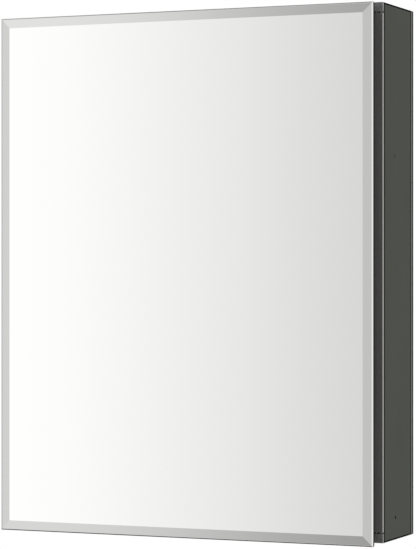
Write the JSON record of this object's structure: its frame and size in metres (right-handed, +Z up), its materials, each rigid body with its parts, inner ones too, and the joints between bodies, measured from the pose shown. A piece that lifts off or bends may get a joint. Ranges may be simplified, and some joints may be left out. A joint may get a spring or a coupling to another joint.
{
  "type": "mirror medicine cabinet",
  "caption": "Wall-hung bathroom cabinet with a frameless bevelled mirror door on a full-height hinge, glass shelves on slotted tracks and a dark aluminium body.",
  "frame": {"origin": "centre of the face that lies on the wall", "axes": "+X to the viewer's right, +Y into the wall, +Z up; the door faces -Y"},
  "size_m": [0.518, 0.141, 0.6615],
  "materials": {
    "anodised_frame": "dark anodised, satin",
    "side_sheet": "dark anodised, satin",
    "corner_casting": "cast and anodised",
    "zinc_screws": "zinc plated",
    "back_sheet": "mill finish",
    "mirror_glass": "silvered and polished",
    "hinge_steel": "stainless, satin",
    "black_moulding": "moulded",
    "edging_rubber": "matt black",
    "magnet": "sintered ferrite",
    "bumper_rubber": "soft clear",
    "track_aluminium": "clear anodised",
    "shelf_glass": "tempered, ground edges",
    "foam_tape": "closed-cell foam",
    "door_frame": "clear anodised, satin"
  },
  "bodies": {
    "cabinet": {"side_right": "anodised_frame", "side_left": "anodised_frame", "side_cover_right": "side_sheet", "side_cover_left": "side_sheet", "side_edging_right": "edging_rubber", "side_edging_left": "edging_rubber", "wall_seals": "foam_tape", "hole_caps": "black_moulding", "corner_block_top_right": "corner_casting", "corner_block_top_left": "corner_casting", "corner_block_bottom_right": "corner_casting", "corner_block_bottom_left": "corner_casting", "top_panel": "side_sheet", "bottom_panel": "side_sheet", "front_corner_screws": "zinc_screws", "rear_corner_screws": "zinc_screws", "back_panel": "back_sheet", "back_mirror": "mirror_glass", "back_rivets": "zinc_screws", "track_rivets": "zinc_screws", "hinge_body_leaf": "hinge_steel", "hinge_body_screws": "zinc_screws", "hinge_pin": "hinge_steel", "catch_housing": "black_moulding", "catch_magnet": "magnet", "catch_screws": "zinc_screws", "door_bumpers": "bumper_rubber", "shelf_track_right_front": "track_aluminium", "shelf_track_left_front": "track_aluminium", "shelf_track_right_rear": "track_aluminium", "shelf_track_left_rear": "track_aluminium", "shelf_lower": "shelf_glass", "shelf_middle": "shelf_glass", "shelf_upper": "shelf_glass", "shelf_clips_lower": "zinc_screws", "shelf_clips_middle": "zinc_screws", "shelf_clips_upper": "zinc_screws"},
    "door": {"door_mirror": "mirror_glass", "glass_edging": "edging_rubber", "bonding_tape": "foam_tape", "door_stile_right": "door_frame", "door_stile_left": "door_frame", "door_rail_top": "door_frame", "door_rail_bottom": "door_frame", "door_corner_keys": "corner_casting", "inner_mirror": "mirror_glass", "hinge_door_leaf": "hinge_steel", "hinge_door_screws": "zinc_screws", "strike_plate": "hinge_steel", "strike_screws": "zinc_screws"}
  },
  "joints": [
    {"name": "door_hinge", "type": "hinge", "parent": "cabinet", "child": "door", "pos_m": [-0.24975, -0.11875, 0], "axis": [0, 0, -1], "range_deg": [0, 110]}
  ]
}
